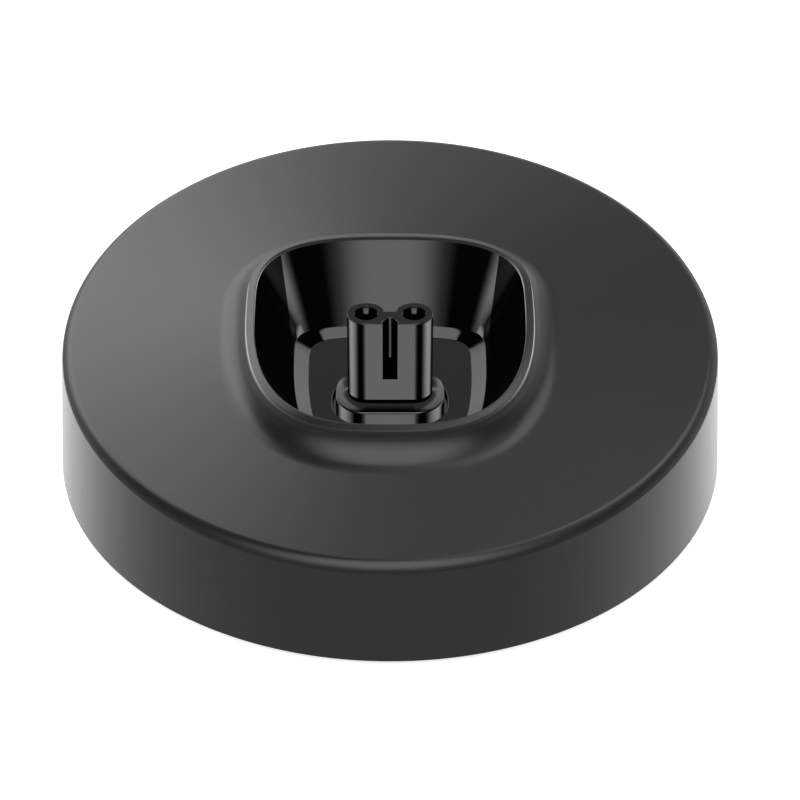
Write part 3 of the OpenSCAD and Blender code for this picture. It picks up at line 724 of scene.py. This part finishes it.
def shade(obj):
    """Smooth shading that breaks at sharp edges, and that keeps large faces flat."""
    bm = bmesh.new()
    bm.from_mesh(obj.data)
    bmesh.ops.remove_doubles(bm, verts=bm.verts, dist=weld)
    for face in bm.faces:
        face.smooth = True
    for edge in bm.edges:
        edge.smooth = len(edge.link_faces) != 2 or edge.calc_face_angle() < smooth_angle
    bm.to_mesh(obj.data)
    bm.free()
    step = obj.modifiers.new("flat", "WEIGHTED_NORMAL")
    step.keep_sharp = True
    apply_modifiers(obj)


def finish_piece(obj, name, slot, body, *replaced):
    """Names a piece, gives it its finish and ties it to its body."""
    shade(obj)
    obj.name = name
    obj.data.name = name
    obj.data.materials.clear()
    obj.data.materials.append(finishes[slot])
    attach(obj, body)
    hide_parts(*replaced)


def set_inputs(node, **values):
    for key, value in values.items():
        node.inputs[key.replace("_", " ")].default_value = value


def new_material(name, roughness, metallic=0.0, specular=0.5):
    """A material with its principled shader, and the object's own coordinates in millimetres."""
    material = bpy.data.materials.new(name)
    material.use_nodes = True
    tree = material.node_tree
    shader = tree.nodes["Principled BSDF"]
    set_inputs(shader, Roughness=roughness, Metallic=metallic, Specular_IOR_Level=specular)
    coordinates = tree.nodes.new("ShaderNodeTexCoord")
    scale = tree.nodes.new("ShaderNodeVectorMath")
    scale.operation = "SCALE"
    scale.inputs["Scale"].default_value = 1 / MM
    tree.links.new(coordinates.outputs["Object"], scale.inputs[0])
    return material, tree, shader, scale.outputs[0]


def noise(tree, place, size, detail=2.0):
    """Noise whose grains are about size millimetres wide."""
    node = tree.nodes.new("ShaderNodeTexNoise")
    set_inputs(node, Scale=1 / size, Detail=detail, Roughness=0.5)
    tree.links.new(place, node.inputs["Vector"])
    return node.outputs["Fac"]


def mapped(tree, value, low, high):
    """Spreads noise over the range from low to high."""
    node = tree.nodes.new("ShaderNodeMapRange")
    set_inputs(node, From_Min=noise_low, From_Max=noise_high, To_Min=low, To_Max=high)
    tree.links.new(value, node.inputs["Value"])
    return node.outputs["Result"]


def colour_by(tree, shader, value, dark, light):
    """Gives the shader a colour that runs from dark to light with the noise."""
    node = tree.nodes.new("ShaderNodeMix")
    node.data_type = "RGBA"
    node.inputs["A"].default_value = (*dark, 1)
    node.inputs["B"].default_value = (*light, 1)
    tree.links.new(mapped(tree, value, 0, 1), node.inputs["Factor"])
    tree.links.new(node.outputs["Result"], shader.inputs["Base Color"])


def bump(tree, shader, height, distance):
    node = tree.nodes.new("ShaderNodeBump")
    set_inputs(node, Strength=1.0, Distance=distance * MM)
    tree.links.new(height, node.inputs["Height"])
    tree.links.new(node.outputs["Normal"], shader.inputs["Normal"])


def speckled(name, dark, light, roughness, grain, depth, specular=0.5, spread=0.05, metallic=0.0):
    """A finish of fine grain: colour, roughness and relief all vary with it."""
    material, tree, shader, place = new_material(name, roughness, metallic, specular)
    fine = noise(tree, place, grain)
    coarse = noise(tree, place, grain * coarse_grain, detail=3)
    colour_by(tree, shader, coarse, dark, light)
    tree.links.new(mapped(tree, fine, roughness - spread, roughness + spread), shader.inputs["Roughness"])
    bump(tree, shader, fine, depth)
    return material


def polished(name, dark, light, wave, depth, specular=0.5):
    """A mirror finish, with a faint wave in its surface from the mould."""
    material, tree, shader, place = new_material(name, 0.0, specular=specular)
    height = noise(tree, place, wave)
    colour_by(tree, shader, height, dark, light)
    bump(tree, shader, height, depth)
    return material


def painted_shade_finish(name, dark, light, roughness, grain, depth):
    """Painted shade for narrow recesses: a near-black without shine, as if nearly no light reached in."""
    material, tree, shader, place = new_material(name, roughness, specular=0.0)
    height = noise(tree, place, grain)
    colour_by(tree, shader, height, dark, light)
    bump(tree, shader, height, depth)
    return material


def grey(value):
    return (value, value, value * blue_share)


def plastic(name, dark, light, roughness, grain, depth, **more):
    """A speckled finish between two greys."""
    return speckled(name, grey(dark), grey(light), roughness, grain, depth, **more)


def metal(name, dark, light, roughness, grain, depth, **more):
    """A speckled finish of bare metal."""
    return speckled(name, dark, light, roughness, grain, depth, metallic=1.0, **more)


# The finish of each slot in the record: its darkest and lightest colour, its roughness unless it is polished,
# the width of its grain or wave and the height of its relief. The two after them paint shade onto faces
# within
# the glossy pieces: a darker, less shiny black for the liner's side walls, and a black without shine for
# recesses.
finishes = {
    "matte_black": plastic("matte_black", 0.008, 0.0095, 0.22, 0.28, 0.005, spread=0.02),
    "gloss_black": polished("gloss_black", grey(0.0011), grey(0.0014), 1.6, 0.0003),
    "black_rubber": plastic("black_rubber", 0.018, 0.026, 0.62, 0.12, 0.008, specular=0.35),
    "grey_plastic": plastic("grey_plastic", 0.08, 0.1, 0.4, 0.2, 0.004),
    "natural_nylon": speckled("natural_nylon", (0.62, 0.6, 0.54), (0.68, 0.66, 0.6), 0.38, 0.3, 0.004),
    "red_sleeving": speckled("red_sleeving", (0.32, 0.015, 0.012), (0.38, 0.02, 0.016), 0.42, 0.2, 0.003),
    "black_sleeving": plastic("black_sleeving", 0.012, 0.016, 0.42, 0.2, 0.003),
    "zinc_steel": metal("zinc_steel", (0.5, 0.51, 0.53), (0.62, 0.63, 0.65), 0.3, 0.1, 0.002),
    "spring_steel": metal("spring_steel", (0.5, 0.5, 0.52), (0.6, 0.6, 0.62), 0.22, 0.1, 0.001),
    "ballast_steel": metal("ballast_steel", (0.3, 0.3, 0.31), (0.42, 0.42, 0.43), 0.45, 0.25, 0.006),
    "nickel_pin": metal("nickel_pin", (0.62, 0.6, 0.56), (0.7, 0.68, 0.64), 0.14, 0.3, 0.0006, spread=0.03),
    "brass_contact": metal("brass_contact", (0.6, 0.42, 0.16), (0.7, 0.52, 0.22), 0.24, 0.2, 0.001),
}
# Painted shade: a darker, less shiny copy of the gloss black for the well's side walls
side_wall_shade = polished("side_wall_shade", grey(0.0007), grey(0.001), 1.6, 0.0003, specular=0.02)
# Painted shade: a black without shine for the connector's slot and holes and the wall of the liner's hole
recess_shade = painted_shade_finish("recess_shade", grey(0.001), grey(0.0015), 0.7, 0.3, 0.003)


def dress_frame():
    """Gives every node of the frame the finish of its slot in the record."""
    for part in frame["record"]["subparts"]:
        node = frame["nodes"][part["node"]]
        node.data.materials.clear()
        node.data.materials.append(finishes[part["material_slot"]])


def build_housing():
    angles = [2 * math.pi * i / sectors for i in range(sectors)]
    sections = []
    for a in angles:
        sections.append([(r * math.cos(a), r * math.sin(a), z) for r, z in housing_section(a)])
    obj = as_object(ring_loft(sections), "housing_shell")
    adds = []
    for x, y in housing_screw_spots:
        adds.append(prism(circle(x, y, boss_r), plate_top, mid_roof(x, y)))
    for x, y in liner_screw_spots:
        adds.append(prism(circle(x, y, boss_r), floor_under + liner_ear_t, mid_roof(x, y)))
    skin_end = math.degrees(math.acos(pad_half_w / pad_skin_r))
    pad = [Vector((-pad_half_w, pad_y)), Vector((pad_half_w, pad_y))]
    pad += arc(0, 0, pad_skin_r, skin_end, 180 - skin_end, 2 * arc_steps)
    adds.append(prism(pad, plate_top, pad_top))
    boolean(obj, adds, "UNION")
    cuts = []
    for x, y in housing_screw_spots:
        cuts.append(prism(circle(x, y, screw_hole_r), plate_top - past, plate_top + housing_screw_len))
    for x, y in liner_screw_spots:
        cuts.append(prism(circle(x, y, screw_hole_r), floor_under, floor_under + liner_screw_len))
    to_inlet = at(0, 0, inlet_z) @ along_y
    for x in (-inlet_screw_x, inlet_screw_x):
        cuts.append(put(prism(circle(x, 0, small_hole_r), pad_y - past, pad_y + inlet_screw_bite), to_inlet))
    hole_w, hole_tall = inlet_w + 2 * wall_hole_fit, inlet_tall + 2 * wall_hole_fit
    hole = prism(rounded_rect(hole_w, hole_tall, inlet_corner_r + wall_hole_fit), pad_y - past, base_r + past)
    cuts.append(put(hole, to_inlet))
    boolean(obj, cuts, "DIFFERENCE")
    finish_piece(obj, "housing_shell", "matte_black", "stand", "top_housing")


def beyond_crease(p, side):
    """How far a point lies beyond the crease on one side, which is -1 for the left and 1 for the right."""
    return side * p.x - crease_x - crease_lean * (p.z - crease_z)


# Cuts the mesh along the line where the painted shade on the side walls begins
def cut_along_crease(obj):
    bm = bmesh.new()
    bm.from_mesh(obj.data)
    for side in (-1, 1):
        everything = bm.verts[:] + bm.edges[:] + bm.faces[:]
        point, normal = Vector((side * crease_x, 0, crease_z)) * MM, Vector((side, 0, -crease_lean))
        bmesh.ops.bisect_plane(bm, geom=everything, plane_co=point, plane_no=normal)
    bm.to_mesh(obj.data)
    bm.free()


def well_shade_index(p, normal):
    """Index of a face's finish in the liner: 0 for the gloss black, 1 for the painted shade on the side
    walls, 2 for the painted shade on the wall of the floor's hole.
    """
    if abs(normal.z) >= wall_normal_z:
        return 0
    in_hole_x = abs(p.x) < shoulder_w / 2 + hole_gap + hole_slack
    in_hole_y = abs(p.y - connector_y) < shoulder_d / 2 + hole_gap + hole_slack
    if in_hole_x and in_hole_y and p.z < floor_z:
        return 2
    beyond = max(beyond_crease(p, -1), beyond_crease(p, 1)) > 0
    in_front = p.y < crease_y and abs(normal.x) > side_normal_x
    return 1 if beyond or in_front else 0


def build_liner():
    """The well's cup, with the ears and bosses under it. From a straight line onwards, its side walls get
    painted shade, a darker and less shiny copy of the rear wall's gloss black, and the wall of the floor's
    hole gets painted shade too."""
    obj = as_object(ring_loft([liner_section(2 * math.pi * i / sectors) for i in range(sectors)]), "well_cup")
    hole_w, hole_d = shoulder_w + 2 * hole_gap, shoulder_d + 2 * hole_gap
    opening = rounded_rect(hole_w, hole_d, shoulder_r + hole_gap, connector_y)
    ear_top = floor_under + liner_ear_t
    adds, cuts = [], [prism(opening, floor_under - past, floor_z, grow_high=hole_edge_r)]
    for x, y in liner_screw_spots:
        root = math.copysign(liner_ear_root, x)
        low, high = (min(x, root), y - boss_r, floor_under), (max(x, root), y + boss_r, ear_top)
        adds.append(box_solid(low, high))
        adds.append(prism(circle(x, y, liner_ear_r), floor_under, ear_top))
        cuts.append(prism(circle(x, y, screw_hole_r + screw_slack), floor_under - past, ear_top + past))
    for x in (-tray_boss_x, tray_boss_x):
        adds.append(prism(circle(x, connector_y, small_boss_r), tray_boss_low, floor_under + floor_t / 2))
        hole = circle(x, connector_y, small_hole_r)
        cuts.append(prism(hole, tray_boss_low - past, floor_under + floor_t / 3))
    boolean(obj, adds, "UNION")
    boolean(obj, cuts, "DIFFERENCE")
    cut_along_crease(obj)
    finish_piece(obj, "well_cup", "gloss_black", "stand", "well_liner")
    # Painted shade: the side walls past the line and the wall of the floor's hole get the darker materials
    obj.data.materials.append(side_wall_shade)
    obj.data.materials.append(recess_shade)
    for face in obj.data.polygons:
        face.material_index = well_shade_index(face.center / MM, face.normal)


def shoulder(low_z):
    """The block under the nose, whose top slopes down to its edge all round."""
    rim = rounded_rect(shoulder_w, shoulder_d, shoulder_r, connector_y)
    rise = shoulder_crown_w * math.tan(shoulder_crown)
    edge_z = shoulder_z - rise / 2
    crown = (-shoulder_crown_w, edge_z + rise)
    edge = corner_arc((0, edge_z), (0, low_z), crown, shoulder_edge_r, edge_steps)
    return stack([[(q.x, q.y, z) for q in offset(rim, grow)] for grow, z in [(0, low_z), *edge, crown]])


def in_shaded_recess(p, normal):
    """Whether a face of the connector's slot or holes gets painted shade. Only the middle of the rear side
    keeps its gloss.
    """
    away = math.hypot(abs(p.x) - pole_pitch / 2, p.y - connector_y)
    if away < funnel_r + recess_slack and p.z < nose_z - socket_start:
        funnel = p.z > nose_z - funnel_h and normal.z > funnel_normal_z
        return not (funnel and normal.y < 0 and abs(normal.x) < funnel_shine_x)
    slot_front = connector_y - lobe_r + slot_front_gap
    in_slot_x = abs(p.x) < slot_w / 2 + recess_slack
    if in_slot_x and slot_front < p.y < slot_front + slot_depth and p.z < nose_z - slot_start:
        return p.z < nose_z - slot_shine_h or abs(normal.x) > slot_side_normal_x
    return False


def build_connector():
    flange_z = connector_low.z + flange_post_h
    flange_w, flange_d = connector_high.x - connector_low.x, connector_high.y - connector_low.y
    obj = as_object(shoulder(flange_z), "connector_block")
    flange = rounded_rect(flange_w, flange_d, shoulder_r + hole_gap + flange_ledge, connector_y)
    adds = [prism(flange, flange_z, flange_z + flange_t)]
    adds.append(prism(nose_outline(), shoulder_z - past, nose_z, high_edge=nose_edge_r))
    for x in (-spring_x, spring_x):
        adds.append(prism(circle(x, connector_y, post_r), connector_low.z, flange_z + flange_t / 2))
    boolean(obj, adds, "UNION")
    slot = slot_outline(slot_w, slot_depth, connector_y, connector_y - 2 * lobe_r)
    slot_end, shine_end = nose_z - slot_h, nose_z - slot_shine_h
    cuts = [prism(slot, slot_end, nose_z, grow_high=slot_edge_r, levels=[shine_end])]
    sleeve_top = nose_z - funnel_h - guide_h
    mouth_r = funnel_r + funnel_edge
    profile = [(sleeve_hole_r, flange_z - past), (sleeve_hole_r, sleeve_top), (socket_r, sleeve_top)]
    profile += [(socket_r, nose_z - funnel_h), (funnel_r, nose_z - funnel_edge), (mouth_r, nose_z)]
    profile += [(mouth_r, nose_z + past)]
    for x in (-pole_pitch / 2, pole_pitch / 2):
        cuts.append(put(lathe(profile), at(x, connector_y, 0)))
    boolean(obj, cuts, "DIFFERENCE")
    finish_piece(obj, "connector_block", "gloss_black", "connector", "connector_body")
    # Painted shade on the faces of the slot and holes
    obj.data.materials.append(recess_shade)
    for face in obj.data.polygons:
        face.material_index = 1 if in_shaded_recess(face.center / MM, face.normal) else 0


def screw(length):
    """Pan-head screw with a cross recess, standing on its head, whose seat is at height 0."""
    head_edge_r = head_round_share * head_h
    profile = corner_arc((head_r, -head_h), (0, -head_h), (head_r, 0), head_edge_r, edge_steps)
    profile += [(head_r, 0), (thread_r, 0)]
    root_r = thread_r - thread_depth
    for i in range(1, int(length / thread_pitch)):
        profile += [(root_r, (i - 0.5) * thread_pitch), (thread_r, i * thread_pitch)]
    profile += [(root_r, length)]
    obj = as_object(lathe(profile, circle_steps), "screw")
    wide, long = cross_half_w_share * head_r, cross_half_len_share * head_r
    low, high = -head_h - past, (cross_depth_share - 1) * head_h
    along = box_solid((-wide, -long, low), (wide, long, high))
    across = box_solid((-long, -wide, low), (long, wide, high))
    return boolean(obj, [along, across], "DIFFERENCE")


def build_screws():
    seat = plate_low.z + head_hole_depth
    for name, spots, length, node in (
        ("housing_fixing_screws", housing_screw_spots, housing_screw_len, "housing_screws"),
        ("ballast_fixing_screws", ballast_screw_spots, ballast_screw_len, "ballast_screws"),
    ):
        obj = copies(screw(length), [(x, y, seat) for x, y in spots], name)
        finish_piece(obj, name, "zinc_steel", "stand", node)


def build_base_plate():
    bottom = plate_low.z
    disc = circle(0, 0, plate_r, sectors)
    obj = as_object(prism(disc, bottom, plate_top, low_edge=plate_edge_r), "base_cover")
    boolean(obj, [prism(circle(0, clip_y, small_boss_r), plate_top - boss_root, plate_high.z)], "UNION")
    cuts = [prism(circle(0, clip_y, small_hole_r), bottom + plate_t / 4, plate_high.z + past)]
    for x, y in housing_screw_spots + ballast_screw_spots:
        head_hole = circle(x, y, head_hole_r)
        cuts.append(prism(head_hole, bottom, bottom + head_hole_depth, grow_low=recess_edge_r))
        cuts.append(prism(circle(x, y, screw_hole_r + screw_slack), bottom - past, plate_top + past))
    for x, y in foot_spots:
        cuts.append(prism(circle(x, y, foot_r + foot_fit), bottom, foot_high.z, grow_low=recess_edge_r))
    boolean(obj, cuts, "DIFFERENCE")
    finish_piece(obj, "base_cover", "matte_black", "stand", "base_plate")


def build_feet():
    """Rubber feet with a rounded edge and a ring groove in the sole."""
    top = foot_high.z
    profile = foot_groove + corner_arc((foot_r, 0), (0, 0), (foot_r, 1), foot_edge_r, edge_steps)
    profile += corner_arc((foot_r, top), (foot_r, 0), (0, top), foot_top_edge_r, foot_top_steps)
    for name, (x, y) in zip(("front", "back", "left", "right"), foot_spots):
        obj = as_object(put(lathe(profile, foot_steps), at(x, y, 0)), "foot")
        finish_piece(obj, f"rubber_foot_{name}", "black_rubber", "stand", f"foot_{name}")


def build_springs():
    """The two springs under the connector."""
    form = (spring_r, spring_wire_r, spring_low.z, spring_high.z, spring_turns, spring_flat_turns)
    for name, x in (("left", -spring_x), ("right", spring_x)):
        obj = as_object(helix(x, connector_y, *form), "coil")
        finish_piece(obj, f"coil_{name}", "spring_steel", "stand", f"spring_{name}")
        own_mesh(obj)


def build_inlet():
    """The inlet in the rear wall, with its pocket. Outlines are upside down until they are turned."""
    place = at(0, 0, inlet_z) @ along_y
    block = rounded_rect(inlet_w, inlet_tall, inlet_corner_r)
    obj = as_object(put(prism(block, inlet_back_y, mouth_y, high_edge=inlet_edge_r), place), "inlet")
    flange = rounded_rect(inlet_flange_w, inlet_flange_tall, inlet_corner_r)
    flange_end = inlet_flange_y + inlet_flange_t
    boolean(obj, [put(prism(flange, inlet_flange_y, flange_end), place)], "UNION")
    rib_x, rib_y = pocket_rib_w / 2, pocket_rib_h - pocket_r
    rib = [Vector(p) for p in ((-rib_x, -pocket_r), (-rib_x, rib_y), (rib_x, rib_y), (rib_x, -pocket_r))]
    x = pole_pitch / 2
    pocket = arc(x, 0, pocket_r, -90, 90, lobe_steps) + arc(-x, 0, pocket_r, 90, 270, lobe_steps) + rib
    cuts = [put(prism(pocket, pocket_y, mouth_y, grow_high=mouth_edge_r), place)]
    for pin_x in (-x, x):
        cuts.append(put(prism(circle(pin_x, 0, pin_hole_r), inlet_back_y - past, pocket_y + past / 2), place))
    for screw_x in (-inlet_screw_x, inlet_screw_x):
        hole = circle(screw_x, 0, inlet_hole_r)
        cuts.append(put(prism(hole, inlet_flange_y - past, flange_end + past), place))
    boolean(obj, cuts, "DIFFERENCE")
    finish_piece(obj, "inlet_shell", "gloss_black", "stand", "inlet_body")


def build_pins():
    """The two pins of the inlet, with a shank in its body, a taper and a rounded tip."""
    taper, tip = (pin_r, pin_end_y - pin_taper), (pin_tip_r, pin_end_y)
    profile = [(pin_shank_r - pin_tail_edge, inlet_back_y - pin_tail)]
    profile += [(pin_shank_r, inlet_back_y - (pin_tail - pin_tail_edge))]
    profile += [(pin_shank_r, pocket_y - pin_step), (pin_r, pocket_y)]
    profile += corner_arc(taper, (pin_r, pocket_y), tip, pin_taper_r, edge_steps)
    profile += corner_arc(tip, taper, (0, pin_end_y), pin_tip_edge_r, edge_steps)
    for name, x in (("left", -pole_pitch / 2), ("right", pole_pitch / 2)):
        pin = as_object(put(lathe(profile, circle_steps), at(x, 0, inlet_z) @ along_y), "pin")
        finish_piece(pin, f"plug_pin_{name}", "nickel_pin", "stand", f"inlet_pin_{name}")


def build_floor():
    """A pale floor that runs far past the picture, lit a little from below like a light table."""
    bm = bmesh.new()
    bmesh.ops.create_grid(bm, x_segments=1, y_segments=1, size=floor_reach)
    floor = as_object(bm, "studio_floor")
    material = speckled("studio_floor", floor_dark, floor_light, 0.8, 2, 0.0, specular=0.0)
    shader = material.node_tree.nodes["Principled BSDF"]
    shader.inputs["Emission Color"].default_value = (1, 1, 1, 1)
    shader.inputs["Emission Strength"].default_value = floor_glow
    material.cycles.emission_sampling = "NONE"
    floor.data.materials.append(material)


def build_camera():
    data = bpy.data.cameras.new("camera")
    data.sensor_width = camera_sensor
    data.lens = camera_lens
    data.shift_x = camera_shift_x
    data.shift_y = camera_shift_y
    data.clip_start = camera_near
    camera = bpy.data.objects.new("camera", data)
    camera.location = camera_place
    camera.rotation_euler = (math.radians(camera_tilt), 0, 0)
    bpy.context.scene.collection.objects.link(camera)
    bpy.context.scene.camera = camera


def math_node(tree, operation, first, second=None, third=None):
    """The result of one operation on numbers or on the outputs of other nodes."""
    node = tree.nodes.new("ShaderNodeMath")
    node.operation = operation
    for socket, value in zip(node.inputs, (first, second, third)):
        if isinstance(value, (int, float)):
            socket.default_value = value
        elif value is not None:
            tree.links.new(value, socket)
    return node.outputs[0]


def ramp(tree, value, start, end):
    """Rises smoothly from 0 where the value is start to 1 where it is end."""
    node = tree.nodes.new("ShaderNodeMapRange")
    node.interpolation_type = "SMOOTHSTEP"
    set_inputs(node, From_Min=start, From_Max=end, To_Min=0.0, To_Max=1.0)
    tree.links.new(value, node.inputs["Value"])
    return node.outputs["Result"]


def soft_box(tree, azimuth, elevation, box):
    """Light of one soft box far away, given as in the lists of soft boxes."""
    middle, half, soft, low, low_soft, high, strength = box
    from_middle = math_node(tree, "WRAP", math_node(tree, "SUBTRACT", azimuth, middle), 180, -180)
    away = math_node(tree, "ABSOLUTE", from_middle)
    across = ramp(tree, away, half + soft / 2, half - soft / 2)
    above = ramp(tree, elevation, low - low_soft / 2, low + low_soft / 2)
    below = ramp(tree, elevation, high + box_top_soft / 2, high - box_top_soft / 2)
    return math_node(tree, "MULTIPLY", math_node(tree, "MULTIPLY", across, above),
                     math_node(tree, "MULTIPLY", below, strength))


def light_rig(tree, azimuth, elevation, base, boxes):
    """Light of several soft boxes, on top of an even base."""
    total = base
    for box in boxes:
        total = math_node(tree, "ADD", soft_box(tree, azimuth, elevation, box), total)
    return total


def build_light():
    """A white studio: soft boxes for the grained surfaces, others for the polished ones, and an even dome."""
    world = bpy.data.worlds.new("studio")
    bpy.context.scene.world = world
    world.use_nodes = True
    world.cycles.sampling_method = "NONE"
    tree = world.node_tree
    direction = tree.nodes.new("ShaderNodeTexCoord")
    split = tree.nodes.new("ShaderNodeSeparateXYZ")
    tree.links.new(direction.outputs["Generated"], split.inputs["Vector"])
    forwards = math_node(tree, "MULTIPLY", split.outputs["Y"], -1)
    azimuth = math_node(tree, "DEGREES", math_node(tree, "ARCTAN2", split.outputs["X"], forwards))
    elevation = math_node(tree, "DEGREES", math_node(tree, "ARCSINE", split.outputs["Z"]))
    on_grain = light_rig(tree, azimuth, elevation, housing_base, housing_boxes)
    off_axis = math_node(tree, "ABSOLUTE", azimuth)
    on_mirrors = light_rig(tree, off_axis, elevation, gloss_base, gloss_boxes)
    path = tree.nodes.new("ShaderNodeLightPath")
    light = dome
    for ray, strength in (
        ("Is Glossy Ray", on_grain),
        ("Is Singular Ray", on_mirrors),
        ("Is Camera Ray", backdrop),
    ):
        kept = math_node(tree, "SUBTRACT", 1, path.outputs[ray])
        other = math_node(tree, "MULTIPLY", kept, light)
        light = math_node(tree, "MULTIPLY_ADD", path.outputs[ray], strength, other)
    background = tree.nodes["Background"]
    background.inputs["Color"].default_value = (1, 1, 1, 1)
    tree.links.new(light, background.inputs["Strength"])


def hide_from_reflections():
    """Reflections show the studio alone, as a photographer's flags would make them."""
    for obj in bpy.data.objects:
        if obj.type == "MESH":
            obj.visible_glossy = False


dress_frame()
build_camera()
build_floor()
build_light()
build_housing()
build_liner()
build_connector()
build_base_plate()
build_feet()
build_screws()
build_springs()
build_inlet()
build_pins()
hide_from_reflections()
bpy.context.scene.view_settings.view_transform = "Standard"
